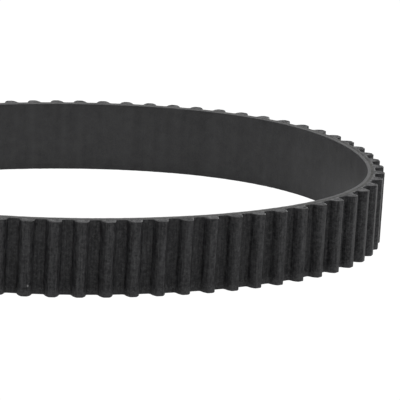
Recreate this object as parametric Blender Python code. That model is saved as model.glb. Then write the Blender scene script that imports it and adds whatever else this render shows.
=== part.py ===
"""An endless rubber timing belt, standing on one cut edge with its teeth outwards.

The belt is a laminate of four plies: backing rubber, a ply of tensile cord, tooth rubber and a woven facing.
It bends as a ring of short stiff sections, hinged on the cord line under twelve of its lands. One more land,
where the bend does not change, is where the ring of hinges opens.
"""
import math

import bpy

# Tooth form, in metres: teeth with bowed flanks and rounded corners, spaced along the cord line
PITCH = 0.002
TEETH = 68
TOOTH_HEIGHT = 0.00075
FLANK_RADIUS = 0.001
FLANK_CENTRE_OFFSET = 0.00044
CORNER_RADIUS = 0.00018
ROOT_RADIUS = 0.00015

# Plies, measured out from the smooth back
WIDTH = 0.0058
LAND_DEPTH = 0.00063
CORD_LINE_DEPTH = LAND_DEPTH - 0.000254
CORD_PLY_THICKNESS = 0.0002
FACING_THICKNESS = 0.00009
BOND_GAP = 0.00001

# The oval that the smooth back follows, seen from above, for a half-length of about 1
OVAL_HEIGHT = 0.75
OVAL_LONG_HARMONIC = -0.04
OVAL_SHORT_HARMONIC = -0.01
OVAL_STEPS = 4096

# Hinges, on lands counted anticlockwise from the right end: a middle one and one on each side of it
HINGE_GROUPS = {"right_end": 0, "far_strand": 17, "left_end": 34, "near_strand": 51}
SIDE_HINGE_STEP = 5
OPEN_LAND = 43
HINGE_GAP = 0.00006
HINGE_RELIEF = math.radians(10)

# Colour and roughness of each ply
FINISHES = {
    "backing_rubber": ((0.040, 0.040, 0.042, 1), 0.6),
    "cord_ply": ((0.30, 0.29, 0.26, 1), 0.8),
    "tooth_rubber": ((0.030, 0.030, 0.032, 1), 0.65),
    "tooth_facing": ((0.050, 0.050, 0.054, 1), 0.85),
}


class CordLine:
    """The closed line on which the pitch is measured. It runs anticlockwise from the oval's right end."""

    def __init__(self):
        oval = [self.oval_point(math.tau * i / OVAL_STEPS) for i in range(OVAL_STEPS)]
        around = sum(math.dist(oval[i - 1], oval[i]) for i in range(OVAL_STEPS))
        half_length = (TEETH * PITCH - math.tau * CORD_LINE_DEPTH) / around
        self.points = []
        self.normals = []
        for i, (x, y) in enumerate(oval):
            before = oval[i - 1]
            after = oval[(i + 1) % OVAL_STEPS]
            step = math.dist(before, after)
            nx = (after[1] - before[1]) / step
            ny = (before[0] - after[0]) / step
            self.normals.append((nx, ny))
            self.points.append((x * half_length + nx * CORD_LINE_DEPTH, y * half_length + ny * CORD_LINE_DEPTH))
        self.stations = [0.0]
        for i in range(OVAL_STEPS):
            step = math.dist(self.points[i], self.points[(i + 1) % OVAL_STEPS])
            self.stations.append(self.stations[-1] + step)

    def oval_point(self, angle):
        x = math.cos(angle) + OVAL_LONG_HARMONIC * math.cos(3 * angle)
        y = OVAL_HEIGHT * math.sin(angle) + OVAL_SHORT_HARMONIC * math.sin(3 * angle)
        return x, y

    def place(self, teeth, depth=CORD_LINE_DEPTH):
        """The (x, y) this many pitches round from the right end, and this far out from the smooth back."""
        station = (teeth / TEETH % 1) * self.stations[-1]
        here = 0
        beyond = OVAL_STEPS
        while beyond - here > 1:
            middle = (here + beyond) // 2
            if self.stations[middle] <= station:
                here = middle
            else:
                beyond = middle
        share = (station - self.stations[here]) / (self.stations[beyond] - self.stations[here])
        beyond %= OVAL_STEPS
        out = depth - CORD_LINE_DEPTH
        return tuple(
            (1 - share) * (self.points[here][k] + out * self.normals[here][k])
            + share * (self.points[beyond][k] + out * self.normals[beyond][k])
            for k in (0, 1)
        )


def hinge_lands():
    """The lands that carry a hinge, in order round the loop."""
    lands = []
    for middle in HINGE_GROUPS.values():
        for side in (-SIDE_HINGE_STEP, 0, SIDE_HINGE_STEP):
            lands.append((middle + side) % TEETH)
    return sorted(lands)


def section_lands():
    """The first and last land of each section, starting at the open land."""
    after = [land + TEETH * (land < OPEN_LAND) for land in hinge_lands()]
    ends = [OPEN_LAND] + sorted(after) + [OPEN_LAND + TEETH]
    return list(zip(ends, ends[1:]))


def section_end(land, depth, side):
    """How many pitches round a section's end face is at this depth: it leans away from its hinge both ways."""
    gap = HINGE_GAP / 2 + abs(depth - CORD_LINE_DEPTH) * math.tan(HINGE_RELIEF)
    return land + side * gap / PITCH


def tooth_outline(inset):
    """One tooth as (along, out from the land) points, drawn this far inside the belt's outer surface."""
    root_along = math.sqrt((FLANK_RADIUS + ROOT_RADIUS) ** 2 - ROOT_RADIUS**2) - FLANK_CENTRE_OFFSET
    root_angle = math.asin(ROOT_RADIUS / (FLANK_RADIUS + ROOT_RADIUS))
    corner_out = TOOTH_HEIGHT - CORNER_RADIUS
    corner_angle = math.asin(corner_out / (FLANK_RADIUS - CORNER_RADIUS))
    corner_along = (FLANK_RADIUS - CORNER_RADIUS) * math.cos(corner_angle) - FLANK_CENTRE_OFFSET
    flank = FLANK_RADIUS - inset
    right = [(root_along, -inset)]
    for angle in (root_angle, corner_angle):
        right.append((flank * math.cos(angle) - FLANK_CENTRE_OFFSET, flank * math.sin(angle)))
    right.append((corner_along, TOOTH_HEIGHT - inset))
    left = [(-along, out) for along, out in right]
    return left + right[::-1]


def plain_edge(first, last, depth):
    """A smooth ply surface at one depth: (pitches round, depth) points from land to land."""
    ends = [(section_end(first, depth, 1), depth), (section_end(last, depth, -1), depth)]
    return ends[:1] + [(land, depth) for land in range(first + 1, last)] + ends[1:]


def toothed_edge(first, last, inset):
    """A toothed ply surface, this far inside the belt's outer surface."""
    land_depth = LAND_DEPTH - inset
    points = [(section_end(first, land_depth, 1), land_depth)]
    for tooth in range(first, last):
        for along, out in tooth_outline(inset):
            points.append((tooth + 0.5 + along / PITCH, LAND_DEPTH + out))
    points.append((section_end(last, land_depth, -1), land_depth))
    return points


def backing_rubber(first, last):
    outer = CORD_LINE_DEPTH - CORD_PLY_THICKNESS / 2 - BOND_GAP
    return plain_edge(first, last, 0) + plain_edge(first, last, outer)[::-1]


def cord_ply(first, last):
    inner = CORD_LINE_DEPTH - CORD_PLY_THICKNESS / 2
    return plain_edge(first, last, inner) + plain_edge(first, last, inner + CORD_PLY_THICKNESS)[::-1]


def tooth_rubber(first, last):
    inner = CORD_LINE_DEPTH + CORD_PLY_THICKNESS / 2 + BOND_GAP
    return plain_edge(first, last, inner) + toothed_edge(first, last, FACING_THICKNESS + BOND_GAP)[::-1]


def tooth_facing(first, last):
    return toothed_edge(first, last, FACING_THICKNESS) + toothed_edge(first, last, 0)[::-1]


def clear_scene():
    for obj in list(bpy.data.objects):
        bpy.data.objects.remove(obj, do_unlink=True)


def make_material(name):
    colour, roughness = FINISHES[name]
    material = bpy.data.materials.new(name)
    material.use_nodes = True
    shader = material.node_tree.nodes["Principled BSDF"]
    shader.inputs["Base Color"].default_value = colour
    shader.inputs["Roughness"].default_value = roughness
    shader.inputs["Metallic"].default_value = 0
    return material


def add_piece(name, outline, pivot, parent, material, collection):
    """A flat outline, extruded over the belt's width, with its origin on its section's hinge."""
    curve = bpy.data.curves.new(name, "CURVE")
    curve.dimensions = "2D"
    curve.fill_mode = "BOTH"
    curve.extrude = WIDTH / 2
    spline = curve.splines.new("POLY")
    spline.points.add(len(outline) - 1)
    for point, (x, y) in zip(spline.points, outline):
        point.co = (x - pivot[0], y - pivot[1], 0, 1)
    spline.use_cyclic_u = True
    curve.materials.append(material)
    piece = bpy.data.objects.new(name, curve)
    piece.location.z = WIDTH / 2
    piece.parent = parent
    collection.objects.link(piece)


def add_pivot(name, place, parent, parent_place, collection):
    """An empty on a section's hinge, carried by the section before it."""
    pivot = bpy.data.objects.new(name, None)
    pivot.location = (place[0] - parent_place[0], place[1] - parent_place[1], 0)
    pivot.parent = parent
    collection.objects.link(pivot)
    return pivot


def build():
    clear_scene()
    belt = bpy.data.collections.new("timing_belt")
    bpy.context.scene.collection.children.link(belt)
    line = CordLine()
    plies = {
        "backing_rubber": backing_rubber,
        "cord_ply": cord_ply,
        "tooth_rubber": tooth_rubber,
        "tooth_facing": tooth_facing,
    }
    materials = {name: make_material(name) for name in plies}

    sections = section_lands()
    root = len(sections) // 2
    root_pivot = add_pivot(f"section_{root + 1:02d}_pivot", (0, 0), None, (0, 0), belt)
    pivots = {root: (root_pivot, (0, 0))}
    forward = [(i, i - 1, sections[i][0]) for i in range(root + 1, len(sections))]
    backward = [(i, i + 1, sections[i][1]) for i in range(root - 1, -1, -1)]
    for section, carrier, land in forward + backward:
        parent, parent_place = pivots[carrier]
        place = line.place(land)
        pivot = add_pivot(f"section_{section + 1:02d}_pivot", place, parent, parent_place, belt)
        pivots[section] = (pivot, place)

    for section, (first, last) in enumerate(sections):
        pivot, place = pivots[section]
        for name, outline_of in plies.items():
            outline = [line.place(teeth, depth) for teeth, depth in outline_of(first, last)]
            add_piece(f"{name}_{section + 1:02d}", outline, place, pivot, materials[name], belt)


build()
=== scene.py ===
"""The looks of a rubber timing belt: its four plies as continuous bands.

Each band is laid in spans, and every span lies across the two stiff sections of the frame that meet under
it.
"""
import math

import bpy
import numpy as np
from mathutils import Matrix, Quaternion, Vector, noise


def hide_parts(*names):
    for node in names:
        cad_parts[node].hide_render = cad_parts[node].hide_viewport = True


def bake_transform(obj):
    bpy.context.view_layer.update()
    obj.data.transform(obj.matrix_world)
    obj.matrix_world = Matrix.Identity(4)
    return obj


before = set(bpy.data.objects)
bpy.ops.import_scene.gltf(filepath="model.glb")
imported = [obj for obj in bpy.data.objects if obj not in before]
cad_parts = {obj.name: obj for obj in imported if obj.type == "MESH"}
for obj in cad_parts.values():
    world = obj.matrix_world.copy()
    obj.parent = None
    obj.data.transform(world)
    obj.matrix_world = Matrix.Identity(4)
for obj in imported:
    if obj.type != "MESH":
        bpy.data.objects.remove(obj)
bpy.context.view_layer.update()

# Camera. A long lens at table height looks across the near strand into the smooth inside of the far one.
# The loop's left end lies outside the picture, and the camera leans a little to one side.
CAMERA_PLACE = (-0.0629453, -0.2223516, 0.0634001)
CAMERA_TARGET = (0.0094575, -0.0023967, 0.0025916)
CAMERA_LENS = 266.87
CAMERA_ROLL = math.radians(3.31)
SENSOR_WIDTH = 36
NEAREST_SEEN = 0.01
FARTHEST_SEEN = 20

camera = bpy.data.objects.new("camera", bpy.data.cameras.new("camera"))
bpy.context.scene.collection.objects.link(camera)
camera.data.lens = CAMERA_LENS
camera.data.sensor_width = SENSOR_WIDTH
camera.data.clip_start = NEAREST_SEEN
camera.data.clip_end = FARTHEST_SEEN
camera.location = CAMERA_PLACE
camera.rotation_mode = "QUATERNION"
looking = Vector(CAMERA_TARGET) - Vector(CAMERA_PLACE)
camera.rotation_quaternion = looking.to_track_quat("-Z", "Y") @ Quaternion((0, 0, 1), CAMERA_ROLL)
bpy.context.scene.camera = camera
bpy.context.scene.view_settings.view_transform = "Standard"

# Table and studio. A pale seamless table, lit faintly from below, runs out to a white surround with no edge.
# The backdrop glows behind, and soft boxes stand above, behind to the right, and in front to the right.
FLOOR_HALF_SIZE = 1.5
FLOOR_DROP = 0.00002
FLOOR_COLOUR = (0.82, 0.82, 0.82, 1)
SURROUND_SEEN = 1.04
TABLE_GLOW = 0.32
WHITE = (1, 1, 1, 1)
BACKDROP_SIDE = (-0.4, 1, 0.15)
BACKDROP_FILL = 0.9
FRONT_FILL = 0.32
BACKDROP_FADE = (0.05, 0.7)


def add_node(tree, kind, sockets=None, **settings):
    """Adds one node. Its sockets are given as values, or as the outputs that feed them."""
    made = tree.nodes.new(kind)
    for name, value in settings.items():
        setattr(made, name, value)
    for name, value in (sockets or {}).items():
        if isinstance(value, bpy.types.NodeSocket):
            tree.links.new(value, made.inputs[name])
        else:
            made.inputs[name].default_value = value
    return made


def eased(tree, value, low, high, start=0.0, end=1.0):
    """Runs softly from start to end while the value goes from low to high."""
    sockets = {"Value": value, "From Min": low, "From Max": high, "To Min": start, "To Max": end}
    return add_node(tree, "ShaderNodeMapRange", sockets, interpolation_type="SMOOTHSTEP").outputs[0]


floor_mesh = bpy.data.meshes.new("floor")
corners = [(-1, -1), (1, -1), (1, 1), (-1, 1)]
floor_points = [(x * FLOOR_HALF_SIZE, y * FLOOR_HALF_SIZE, -FLOOR_DROP) for x, y in corners]
floor_mesh.from_pydata(floor_points, [], [(0, 1, 2, 3)])
floor = bpy.data.objects.new("floor", floor_mesh)
bpy.context.scene.collection.objects.link(floor)

floor_finish = bpy.data.materials.new("pale_table")
floor_finish.use_nodes = True
tree = floor_finish.node_tree
tree.nodes.clear()
matt = add_node(tree, "ShaderNodeBsdfDiffuse", {"Color": FLOOR_COLOUR})
faint = add_node(tree, "ShaderNodeEmission", {"Color": WHITE, "Strength": TABLE_GLOW})
lit = add_node(tree, "ShaderNodeAddShader", {0: matt.outputs[0], 1: faint.outputs[0]})
glow = add_node(tree, "ShaderNodeEmission", {"Color": WHITE, "Strength": SURROUND_SEEN})
ray = add_node(tree, "ShaderNodeLightPath")
seen = add_node(
    tree,
    "ShaderNodeMixShader",
    {0: ray.outputs["Is Camera Ray"], 1: lit.outputs[0], 2: glow.outputs[0]},
)
add_node(tree, "ShaderNodeOutputMaterial", {"Surface": seen.outputs[0]})
floor_mesh.materials.append(floor_finish)

world = bpy.data.worlds.new("white_surround")
bpy.context.scene.world = world
world.use_nodes = True
tree = world.node_tree
tree.nodes.clear()
direction = add_node(tree, "ShaderNodeTexCoord")
behind = add_node(
    tree,
    "ShaderNodeVectorMath",
    {0: direction.outputs["Generated"], 1: BACKDROP_SIDE},
    operation="DOT_PRODUCT",
)
glow_level = eased(tree, behind.outputs["Value"], *BACKDROP_FADE, FRONT_FILL, BACKDROP_FILL)
ray = add_node(tree, "ShaderNodeLightPath")
level = add_node(
    tree,
    "ShaderNodeMix",
    {0: ray.outputs["Is Camera Ray"], 2: glow_level, 3: SURROUND_SEEN},
)
surround = add_node(tree, "ShaderNodeBackground", {"Color": WHITE, "Strength": level.outputs[0]})
add_node(tree, "ShaderNodeOutputWorld", {"Surface": surround.outputs[0]})

# Each soft box: its side length, its place and its power
SOFT_BOXES = {
    "back_right_box": (0.7, (0.80, 1.00, 0.40), 3.4),
    "front_right_box": (0.5, (0.90, -0.75, 0.35), 1.4),
    "top_box": (0.9, (0.15, 0.20, 1.20), 5.6),
}
for name, (side, place, power) in SOFT_BOXES.items():
    box = bpy.data.lights.new(name, "AREA")
    box.shape = "SQUARE"
    box.size = side
    box.energy = power
    lamp = bpy.data.objects.new(name, box)
    lamp.location = place
    lamp.rotation_mode = "QUATERNION"
    lamp.rotation_quaternion = (-Vector(place)).to_track_quat("-Z", "Y")
    lamp.visible_camera = False
    bpy.context.scene.collection.objects.link(lamp)

# Backing rubber: the smooth side of the belt, a thin sheet that was ground flat across the width.
# It carries the cords, and the whole belt is bent round a closed line measured at their middle.
PITCH = 0.002
TEETH = 68
WIDTH = 0.0058
LAND_DEPTH = 0.00063
CORD_LINE_DEPTH = LAND_DEPTH - 0.000254
CORD_PLY_THICKNESS = 0.0002
BACKING_DEPTH = CORD_LINE_DEPTH - CORD_PLY_THICKNESS / 2
BACK_EDGE_RADIUS = 0.00005
OVAL_HEIGHT = 0.75
OVAL_LONG_HARMONIC = -0.04
OVAL_SHORT_HARMONIC = -0.01
OVAL_STEPS = 4096
MM = 1000


def closed_line():
    """Stations, points and outward normals of the pitch line, anticlockwise from the right end."""
    angle = np.linspace(0, math.tau, OVAL_STEPS, endpoint=False)
    x = np.cos(angle) + OVAL_LONG_HARMONIC * np.cos(3 * angle)
    y = OVAL_HEIGHT * np.sin(angle) + OVAL_SHORT_HARMONIC * np.sin(3 * angle)
    oval = np.stack([x, y], axis=1)
    around = np.linalg.norm(oval - np.roll(oval, 1, axis=0), axis=1).sum()
    half_length = (TEETH * PITCH - math.tau * CORD_LINE_DEPTH) / around
    chord = np.roll(oval, -1, axis=0) - np.roll(oval, 1, axis=0)
    chord /= np.linalg.norm(chord, axis=1)[:, None]
    normal = np.stack([chord[:, 1], -chord[:, 0]], axis=1)
    point = oval * half_length + normal * CORD_LINE_DEPTH
    step = np.linalg.norm(np.roll(point, -1, axis=0) - point, axis=1)
    station = np.concatenate([[0], np.cumsum(step)])
    return station, np.vstack([point, point[:1]]), np.vstack([normal, normal[:1]])


STATION, LINE_POINT, LINE_NORMAL = closed_line()


def place(teeth, depth):
    """x and y, this many pitches round from the right end, and this far out from the smooth back."""
    station = (np.asarray(teeth, float) / TEETH % 1) * STATION[-1]
    out = np.asarray(depth, float) - CORD_LINE_DEPTH
    return tuple(
        np.interp(station, STATION, LINE_POINT[:, k]) + out * np.interp(station, STATION, LINE_NORMAL[:, k])
        for k in (0, 1)
    )


# The lands where one bent span meets the next. One hinge of the frame lies under each span.
SPAN_ENDS = (43, 48, 53, 59, 65, 70, 76, 82, 87, 93, 99, 104, 111)
STRAIGHT_END = 0.4
CREASE_ANGLE = math.radians(50)


def pitch_columns(spot, span, columns):
    """One pitch's columns, repeated over a span and one column beyond each end, for the directions there."""
    first, last = span
    teeth = np.arange(first - 1, last + 1)
    spread = np.concatenate([tooth + 0.5 + spot / PITCH for tooth in teeth])
    return spread[columns - 1 : (last - first + 1) * columns + 2]


def repeat_columns(values, span, columns):
    """The same for values that are alike in every pitch, such as depths and heights."""
    first, last = span
    return np.concatenate([values] * (last - first + 2))[columns - 1 : (last - first + 1) * columns + 2]


def roughened(rest, outward, amount, grain):
    """Moves points along their surface direction by noise. grain is its scale for each axis, per mm."""
    moved = rest.copy()
    for i, (spot, lift) in enumerate(zip(rest * MM * np.array(grain), amount)):
        if lift:
            moved[i] += outward[i] * lift * noise.noise(Vector(spot))
    return moved


def band(name, span, along, depth, height, reliefs, marks):
    """One ply over one span, as a closed band.

    along, depth and height hold one pitch, as columns round the loop by points round the ply's section.
    reliefs are (amount, grain) pairs, and marks are named values kept on the points for the finish.
    """
    columns, ring = along.shape
    teeth = pitch_columns(along, span, columns)
    x, y = place(teeth, repeat_columns(depth, span, columns))
    rest = np.stack([x, y, repeat_columns(height, span, columns)], axis=2)
    forward = np.roll(rest, -1, axis=0) - np.roll(rest, 1, axis=0)
    round_section = np.roll(rest, -1, axis=1) - np.roll(rest, 1, axis=1)
    outward = np.cross(forward, round_section)
    outward /= np.linalg.norm(outward, axis=2)[:, :, None] + 1e-12
    rest, outward = rest[1:-1].reshape(-1, 3), outward[1:-1].reshape(-1, 3)
    shaped = rest
    for amount, grain in reliefs:
        lift = repeat_columns(amount, span, columns)[1:-1].ravel()
        shaped = shaped + roughened(rest, outward, lift, grain) - rest

    count = len(rest) // ring
    here = np.arange(count - 1)[:, None] * ring + np.arange(ring)[None, :]
    beside = np.arange(count - 1)[:, None] * ring + (np.arange(ring)[None, :] + 1) % ring
    quads = np.stack([here, here + ring, beside + ring, beside], axis=2).reshape(-1, 4)
    faces = quads.tolist() + [list(range(ring)), list(range(len(rest) - 1, len(rest) - ring - 1, -1))]
    mesh = bpy.data.meshes.new(name)
    mesh.from_pydata(shaped.tolist(), [], faces)
    mesh.shade_smooth()
    mesh.set_sharp_from_angle(angle=CREASE_ANGLE)
    place_mark = mesh.attributes.new("rest_mm", "FLOAT_VECTOR", "POINT")
    place_mark.data.foreach_set("vector", (rest * MM).ravel())
    for mark, values in marks.items():
        kept = mesh.attributes.new(mark, "FLOAT", "POINT")
        kept.data.foreach_set("value", repeat_columns(values, span, columns)[1:-1].ravel())
    piece = bpy.data.objects.new(name, mesh)
    bpy.context.scene.collection.objects.link(piece)
    return piece


def lay_ply(ply, finish, along, depth, height, reliefs, marks):
    """All the spans of one ply, each laid across the two sections that its hinge joins, in place of the
    hidden parts that it stands for.
    """
    spans = list(zip(SPAN_ENDS, SPAN_ENDS[1:]))
    for number, span in enumerate(spans, start=1):
        piece = band(f"{ply}_span_{number:02d}", span, along, depth, height, reliefs, marks)
        piece.data.materials.append(finish)
        stood_for = [f"{ply}_{number:02d}"] + [f"{ply}_{number + 1:02d}"] * (number == len(spans))
        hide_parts(*stood_for)
        bend = (span[0] + STRAIGHT_END, span[1] - STRAIGHT_END)
        ends = [place(land, CORD_LINE_DEPTH) for land in bend]
        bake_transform(piece)


# How the knife leaves the toothed side: the facing is dragged over the edge, which falls away in a soft rim
TOOTH_HEIGHT = 0.00075
FLANK_RADIUS = 0.001
FLANK_CENTRE_OFFSET = 0.00044
CORNER_RADIUS = 0.00018
ROOT_RADIUS = 0.00015
RIM_WIDTH = 0.00010
RIM_FALL = 0.00005


def tooth_outline():
    """The toothed surface over one pitch, as (along, out from the land, surface direction) columns."""
    root_along = math.sqrt((FLANK_RADIUS + ROOT_RADIUS) ** 2 - ROOT_RADIUS**2) - FLANK_CENTRE_OFFSET
    root_angle = math.asin(ROOT_RADIUS / (FLANK_RADIUS + ROOT_RADIUS))
    corner_angle = math.asin((TOOTH_HEIGHT - CORNER_RADIUS) / (FLANK_RADIUS - CORNER_RADIUS))
    corner_along = (FLANK_RADIUS - CORNER_RADIUS) * math.cos(corner_angle) - FLANK_CENTRE_OFFSET
    half = [(corner_along * share, TOOTH_HEIGHT, 0, 1) for share in (0, 1)]
    for angle in np.linspace(math.pi / 2, corner_angle, 6)[1:]:
        c, s = math.cos(angle), math.sin(angle)
        out = TOOTH_HEIGHT - CORNER_RADIUS + CORNER_RADIUS * s
        half.append((corner_along + CORNER_RADIUS * c, out, c, s))
    for angle in np.linspace(corner_angle, root_angle, 7)[1:]:
        c, s = math.cos(angle), math.sin(angle)
        half.append((FLANK_RADIUS * c - FLANK_CENTRE_OFFSET, FLANK_RADIUS * s, c, s))
    for angle in np.linspace(root_angle, math.pi / 2, 4)[1:]:
        c, s = math.cos(angle), math.sin(angle)
        half.append((root_along - ROOT_RADIUS * c, ROOT_RADIUS - ROOT_RADIUS * s, c, s))
    for share in (1 / 3, 2 / 3):
        half.append((root_along + (PITCH / 2 - root_along) * share, 0, 0, 1))
    land_centre = [(-PITCH / 2, 0, 0, 1)]
    left = [(-a, o, -na, no) for a, o, na, no in half[:0:-1]]
    return np.array(land_centre + left + half)


OUTLINE = tooth_outline()


def rim_drop(along, depth):
    """How far the cut face has fallen at these points, by their distance from the toothed surface."""
    fine = np.vstack([OUTLINE + [shift * PITCH, 0, 0, 0] for shift in (-1, 0, 1)])
    between = [(1 - share) * fine[:-1, :2] + share * fine[1:, :2] for share in (0, 0.25, 0.5, 0.75)]
    surface = np.vstack(between)
    aside = along[..., None] - surface[:, 0]
    below = depth[..., None] - LAND_DEPTH - surface[:, 1]
    inside = np.clip(1 - np.hypot(aside, below).min(axis=-1) / RIM_WIDTH, 0, 1)
    return RIM_FALL * (1 - np.sqrt(1 - inside**2))


def back_drop(depth):
    """How far the cut face has fallen towards the smooth back's rounded edge."""
    inside = np.clip(1 - depth / BACK_EDGE_RADIUS, 0, 1)
    return BACK_EDGE_RADIUS * (1 - np.sqrt(1 - inside**2))


def section_grid(columns, points):
    """Turns (depth, height, cut) points round a plain ply's section into one pitch of columns."""
    along = np.linspace(-PITCH / 2, PITCH / 2, columns, endpoint=False)
    depth, height, cut = [np.tile(np.array(values, float), (columns, 1)) for values in zip(*points)]
    along = np.tile(along[:, None], (1, depth.shape[1]))
    drop = (rim_drop(along, depth) + back_drop(depth)) * cut
    height = np.where(height > WIDTH / 2, height - drop, height + drop)
    return along, depth, height, cut


BACKING_COLUMNS = 12
BACKING_ROWS = 40
BACKING_SHARES = (0.85, 0.7, 0.55, 0.4, 0.3, 0.2, 0.12, 0.06, 0.02)
BACKING_DARK = (0.017, 0.017, 0.018)
BACKING_PALE = (0.120, 0.120, 0.122)
BACKING_TONE = -0.35
BACK_WAVE = 0.000006
BACK_WAVE_GRAIN = (0.5, 0.5, 0.3)
CUT_ROUGHNESS = 0.000012
CUT_GRAIN = (3, 3, 3)
outer = [(BACKING_DEPTH, z, 1) for z in (0, WIDTH)]
cut_across = [BACKING_DEPTH * share for share in BACKING_SHARES]
back_rows = np.linspace(WIDTH - BACK_EDGE_RADIUS, BACK_EDGE_RADIUS, BACKING_ROWS)
section = outer + [(d, WIDTH, 1) for d in cut_across]
section += [(0, z, 0) for z in back_rows]
section += [(d, 0, 1) for d in cut_across[::-1]]
along, depth, height, cut = section_grid(BACKING_COLUMNS, section)
on_back = (depth == 0).astype(float)

# The grain that all the finishes share, measured in millimetres on the belt at rest
LOW_EDGE_MM = 0.8
STREAK_SQUEEZE = (1, 1, 0.06)


def grain_group():
    """Streaks across the width, soft mottling and fine specks, fixed to the rubber and not to its bend."""
    group = bpy.data.node_groups.new("belt_grain", "ShaderNodeTree")
    for name, value in (("Streak Scale", 7.0), ("Mottle Scale", 2.5), ("Speck Scale", 9.0)):
        group.interface.new_socket(name, in_out="INPUT", socket_type="NodeSocketFloat").default_value = value
    for name in ("Streaks", "Mottle", "Specks", "Cut", "Height", "Low Edge"):
        group.interface.new_socket(name, in_out="OUTPUT", socket_type="NodeSocketFloat")
    given = add_node(group, "NodeGroupInput")
    rest = add_node(group, "ShaderNodeAttribute", attribute_name="rest_mm")
    squeezed = add_node(
        group, "ShaderNodeVectorMath", {0: rest.outputs["Vector"], 1: STREAK_SQUEEZE}, operation="MULTIPLY"
    )

    def noise_mask(vector, scale, detail, roughness):
        sockets = {"Vector": vector, "Scale": given.outputs[scale], "Detail": detail, "Roughness": roughness}
        return add_node(group, "ShaderNodeTexNoise", sockets).outputs[0]

    streaks = noise_mask(squeezed.outputs[0], "Streak Scale", 3.0, 0.6)
    mottle = noise_mask(rest.outputs["Vector"], "Mottle Scale", 3.0, 0.65)
    specks = noise_mask(rest.outputs["Vector"], "Speck Scale", 2.0, 0.7)
    cut_mark = add_node(group, "ShaderNodeAttribute", attribute_name="cut")
    height_mark = add_node(group, "ShaderNodeAttribute", attribute_name="height_share")
    axes = add_node(group, "ShaderNodeSeparateXYZ", {0: rest.outputs["Vector"]})
    low_edge = eased(group, axes.outputs["Z"], 0.0, LOW_EDGE_MM, 1.0, 0.0)
    found = {
        "Low Edge": low_edge,
        "Streaks": streaks,
        "Mottle": mottle,
        "Specks": specks,
        "Cut": cut_mark.outputs["Fac"],
        "Height": height_mark.outputs["Fac"],
    }
    add_node(group, "NodeGroupOutput", found)
    return group


GRAIN = grain_group()


def weighed(tree, start, *parts):
    """start plus each mask times its weight."""
    total = start
    for mask, weight in parts:
        sockets = {0: mask, 1: weight, 2: total}
        total = add_node(tree, "ShaderNodeMath", sockets, operation="MULTIPLY_ADD").outputs[0]
    return total


def grey_ramp(tree, mask, dark, pale):
    """A colour between dark and pale, by the mask."""
    ramp = add_node(tree, "ShaderNodeValToRGB", {"Fac": mask})
    for element, colour in zip(ramp.color_ramp.elements, (dark, pale)):
        element.color = (*colour, 1)
    return ramp.outputs[0]


def rubber_finish(name):
    """A new Principled material, its node tree and its shader."""
    finish = bpy.data.materials.new(name)
    finish.use_nodes = True
    return finish, finish.node_tree, finish.node_tree.nodes["Principled BSDF"]


backing_finish, tree, shader = rubber_finish("ground_backing_rubber")
grain = add_node(tree, "ShaderNodeGroup", node_tree=GRAIN)
grain.inputs["Streak Scale"].default_value = 0.9
grain.inputs["Mottle Scale"].default_value = 1.2
tone = weighed(
    tree,
    BACKING_TONE,
    (grain.outputs["Streaks"], 0.40),
    (grain.outputs["Mottle"], 0.35),
    (grain.outputs["Specks"], 0.30),
    (grain.outputs["Cut"], 0.75),
)
tree.links.new(grey_ramp(tree, tone, BACKING_DARK, BACKING_PALE), shader.inputs["Base Color"])
dullness = weighed(
    tree,
    0.30,
    (grain.outputs["Mottle"], 0.15),
    (grain.outputs["Streaks"], 0.15),
    (grain.outputs["Cut"], 0.4),
)
tree.links.new(dullness, shader.inputs["Roughness"])
shader.inputs["IOR"].default_value = 1.5
shader.inputs["Specular IOR Level"].default_value = 0.35
relief = weighed(
    tree,
    0.0,
    (grain.outputs["Streaks"], 0.3),
    (grain.outputs["Specks"], 0.4),
    (grain.outputs["Mottle"], 0.3),
)
bump = add_node(tree, "ShaderNodeBump", {"Height": relief, "Distance": 0.00003, "Strength": 0.5})
tree.links.new(bump.outputs[0], shader.inputs["Normal"])

lay_ply(
    "backing_rubber",
    backing_finish,
    along,
    depth,
    height,
    [(on_back * BACK_WAVE, BACK_WAVE_GRAIN), (cut * CUT_ROUGHNESS, CUT_GRAIN)],
    {"cut": cut},
)

# Tensile cords: glass strand, dipped in adhesive and wound side by side across the width in one layer.
# The adhesive is as dark as the rubber, so the ply hardly shows where the knife slices the outermost turns.
CORDS = 14
CORD_COLUMNS = 8
CORD_GROOVE = 0.00004
ROWS_PER_TURN = 4
CORD_DARK = (0.050, 0.050, 0.051)
CORD_PALE = (0.15, 0.148, 0.14)
CORD_TONE = -0.6
cord_inner = CORD_LINE_DEPTH - CORD_PLY_THICKNESS / 2
cord_outer = cord_inner + CORD_PLY_THICKNESS
turn_rows = np.linspace(0, WIDTH, CORDS * ROWS_PER_TURN + 1)
groove = CORD_GROOVE * np.sin(math.pi * CORDS * turn_rows / WIDTH) ** 8
section = [(cord_outer - g, z, 1.0 * (z in (0, WIDTH))) for z, g in zip(turn_rows, groove)]
cut_across = [cord_outer - CORD_PLY_THICKNESS * share for share in (0.3, 0.5, 0.7)]
section += [(d, WIDTH, 1) for d in cut_across]
section += [(cord_inner + g, z, 1.0 * (z in (0, WIDTH))) for z, g in zip(turn_rows[::-1], groove)]
section += [(d, 0, 1) for d in cut_across[::-1]]
along, depth, height, cut = section_grid(CORD_COLUMNS, section)

cord_finish, tree, shader = rubber_finish("dipped_glass_cord")
grain = add_node(tree, "ShaderNodeGroup", node_tree=GRAIN)
grain.inputs["Mottle Scale"].default_value = 1.5
tone = weighed(tree, CORD_TONE, (grain.outputs["Mottle"], 1.6), (grain.outputs["Specks"], 0.5))
tree.links.new(grey_ramp(tree, tone, CORD_DARK, CORD_PALE), shader.inputs["Base Color"])
shader.inputs["Roughness"].default_value = 0.9
shader.inputs["Specular IOR Level"].default_value = 0.1
lay_ply("cord_ply", cord_finish, along, depth, height, [(cut * CUT_ROUGHNESS, CUT_GRAIN)], {"cut": cut})

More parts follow.
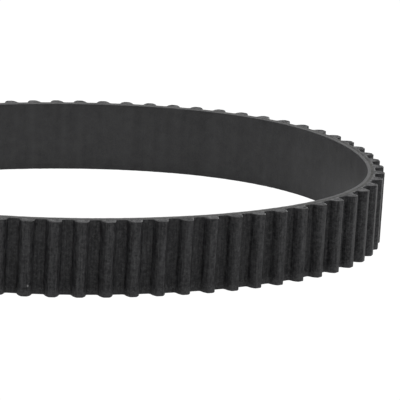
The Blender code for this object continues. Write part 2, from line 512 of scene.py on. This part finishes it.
# Tooth rubber: fills the teeth and the land under them, moulded through the cords onto the backing.
# Only its cut edges show, as the grey trapezoids and the strip that joins them.
FACING_THICKNESS = 0.00009
CUT_SHARES = (0, 0.05, 0.11, 0.18, 0.27, 0.38, 0.52, 0.68, 0.85, 1)
TOOTH_DARK = (0.032, 0.032, 0.033)
TOOTH_PALE = (0.215, 0.215, 0.218)
TOOTH_TONE = -1.25
rubber_inner = CORD_LINE_DEPTH + CORD_PLY_THICKNESS / 2
skin_along = OUTLINE[:, 0] - FACING_THICKNESS * OUTLINE[:, 2]
skin_depth = LAND_DEPTH + OUTLINE[:, 1] - FACING_THICKNESS * OUTLINE[:, 3]
shares = np.array(CUT_SHARES)
across = skin_depth[:, None] + (rubber_inner - skin_depth)[:, None] * shares[None, :]
along = np.tile(skin_along[:, None], (1, 2 * len(shares)))
depth = np.hstack([across, across[:, ::-1]])
drop = rim_drop(along, depth)
top = np.tile(np.arange(2 * len(shares)) < len(shares), (len(depth), 1))
height = np.where(top, WIDTH - drop, drop)
cut = np.ones_like(depth)

tooth_finish, tree, shader = rubber_finish("cut_tooth_rubber")
grain = add_node(tree, "ShaderNodeGroup", node_tree=GRAIN)
tone = weighed(
    tree,
    TOOTH_TONE,
    (grain.outputs["Mottle"], 2.2),
    (grain.outputs["Specks"], 1.6),
    (grain.outputs["Height"], -0.35),
)
tree.links.new(grey_ramp(tree, tone, TOOTH_DARK, TOOTH_PALE), shader.inputs["Base Color"])
dullness = weighed(tree, 0.55, (grain.outputs["Mottle"], 0.5), (grain.outputs["Specks"], 0.2))
tree.links.new(dullness, shader.inputs["Roughness"])
shader.inputs["IOR"].default_value = 1.5
shader.inputs["Specular IOR Level"].default_value = 0.0
relief = weighed(tree, 0.0, (grain.outputs["Mottle"], 0.6), (grain.outputs["Specks"], 0.8))
bump = add_node(tree, "ShaderNodeBump", {"Height": relief, "Distance": 0.00005, "Strength": 0.8})
tree.links.new(bump.outputs[0], shader.inputs["Normal"])
lay_ply(
    "tooth_rubber",
    tooth_finish,
    along,
    depth,
    height,
    [(cut * CUT_ROUGHNESS, CUT_GRAIN)],
    {"cut": cut, "height_share": np.clip((depth - LAND_DEPTH) / TOOTH_HEIGHT, 0, 1)},
)

# Tooth facing: a thin stretch-nylon cloth that lines the mould and is pressed to the shape of the teeth.
# Rubber fills its weave, the crowns of its threads show as fine lighter specks, and its cut edge is ragged.
FACING_ROWS = 46
PIT_PLACE = (-8.35, -18.17, 5.42)
PIT_RADIUS = 0.17
FLECK_PLACE = (-8.90, -18.72, 0.85)
FLECK_RADIUS = 0.11
FLECK_COLOUR = (0.22, 0.22, 0.22, 1)
FACING_SHARES = (1, 0.72, 0.46, 0.24, 0.08, 0)
FACING_DARK = (0.009, 0.009, 0.010)
FACING_PALE = (0.062, 0.062, 0.064)
FACING_TONE = -1.74
CREST_HEIGHTS = (0.80, 0.98)
PAINTED_TOOTH_LIGHT_HEIGHTS = (0.0, 0.15)
SPECKLE_RANGE = (0.53, 0.68)
THREAD_LUMPS = (0.000010, (3, 3, 2))
THREAD_RIBS = (0.000006, (8, 8, 1))
insets = FACING_THICKNESS * np.array(FACING_SHARES)
fall = RIM_FALL * (1 - np.sqrt(1 - (1 - insets / RIM_WIDTH) ** 2))
rows = np.linspace(RIM_FALL, WIDTH - RIM_FALL, FACING_ROWS)[1:-1]
ring_inset = np.concatenate([insets, np.zeros(len(rows)), insets[::-1], [FACING_THICKNESS] * 2])
ring_height = np.concatenate([fall, rows, WIDTH - fall[::-1], [WIDTH * 2 / 3, WIDTH / 3]])
ring_cut = np.concatenate([1 - fall / RIM_FALL, rows * 0, 1 - fall[::-1] / RIM_FALL, [0, 0]])
along = OUTLINE[:, :1] - ring_inset[None, :] * OUTLINE[:, 2:3]
depth = LAND_DEPTH + OUTLINE[:, 1:2] - ring_inset[None, :] * OUTLINE[:, 3:4]
height = np.tile(ring_height, (len(OUTLINE), 1))
cut = np.tile(ring_cut, (len(OUTLINE), 1))
outer_side = np.tile((ring_inset == 0).astype(float), (len(OUTLINE), 1))
height_share = np.tile(OUTLINE[:, 1:2] / TOOTH_HEIGHT, (1, len(ring_inset)))

facing_finish, tree, shader = rubber_finish("nylon_tooth_facing")
grain = add_node(tree, "ShaderNodeGroup", node_tree=GRAIN)
grain.inputs["Mottle Scale"].default_value = 3.5
grain.inputs["Streak Scale"].default_value = 9
grain.inputs["Speck Scale"].default_value = 6
crest = eased(tree, grain.outputs["Height"], *CREST_HEIGHTS)
# Painted light: the tooth above its root is painted lighter than the land between teeth. It stands in for
# fill light on the flanks and leaves the lands darker as painted shade.
painted_tooth_light = eased(tree, grain.outputs["Height"], *PAINTED_TOOTH_LIGHT_HEIGHTS)
rest_place = add_node(tree, "ShaderNodeAttribute", attribute_name="rest_mm")
spots = []
for spot, radius in ((PIT_PLACE, PIT_RADIUS), (FLECK_PLACE, FLECK_RADIUS)):
    away = add_node(
        tree, "ShaderNodeVectorMath", {0: rest_place.outputs["Vector"], 1: spot}, operation="DISTANCE"
    )
    spots.append(eased(tree, away.outputs["Value"], radius / 2, radius, 1.0, 0.0))
pit, fleck = spots
speckled = add_node(
    tree,
    "ShaderNodeMapRange",
    {"Value": grain.outputs["Specks"], "From Min": SPECKLE_RANGE[0], "From Max": SPECKLE_RANGE[1]},
)
frayed = add_node(
    tree, "ShaderNodeMath", {0: speckled.outputs[0], 1: grain.outputs["Low Edge"]}, operation="MULTIPLY"
)
# The cloth's tone below includes painted light on the teeth above their roots, against the darker lands.
tone = weighed(
    tree,
    FACING_TONE,
    (grain.outputs["Streaks"], 1.5),
    (grain.outputs["Mottle"], 1.7),
    (grain.outputs["Specks"], 0.8),
    (crest, 0.04),
    (painted_tooth_light, 0.08),
    (grain.outputs["Low Edge"], 0.50),
    (pit, -1.5),
    (speckled.outputs[0], 0.25),
    (frayed.outputs[0], 2.0),
)
cloth = grey_ramp(tree, tone, FACING_DARK, FACING_PALE)
flecked = add_node(
    tree,
    "ShaderNodeMix",
    {0: fleck, 6: cloth, 7: FLECK_COLOUR},
    data_type="RGBA",
)
tree.links.new(flecked.outputs[2], shader.inputs["Base Color"])
dullness = weighed(tree, 0.18, (grain.outputs["Mottle"], 0.5), (grain.outputs["Streaks"], 0.15))
tree.links.new(dullness, shader.inputs["Roughness"])
shader.inputs["IOR"].default_value = 1.5
shader.inputs["Specular IOR Level"].default_value = 0.2
relief = weighed(
    tree,
    0.0,
    (grain.outputs["Mottle"], 0.8),
    (grain.outputs["Specks"], 0.8),
    (grain.outputs["Streaks"], 0.4),
    (pit, -2.0),
)
bump = add_node(tree, "ShaderNodeBump", {"Height": relief, "Distance": 0.00004, "Strength": 0.5})
tree.links.new(bump.outputs[0], shader.inputs["Normal"])
lay_ply(
    "tooth_facing",
    facing_finish,
    along,
    depth,
    height,
    [(outer_side * amount, grain_scale) for amount, grain_scale in (THREAD_LUMPS, THREAD_RIBS)],
    {"cut": cut, "height_share": height_share},
)
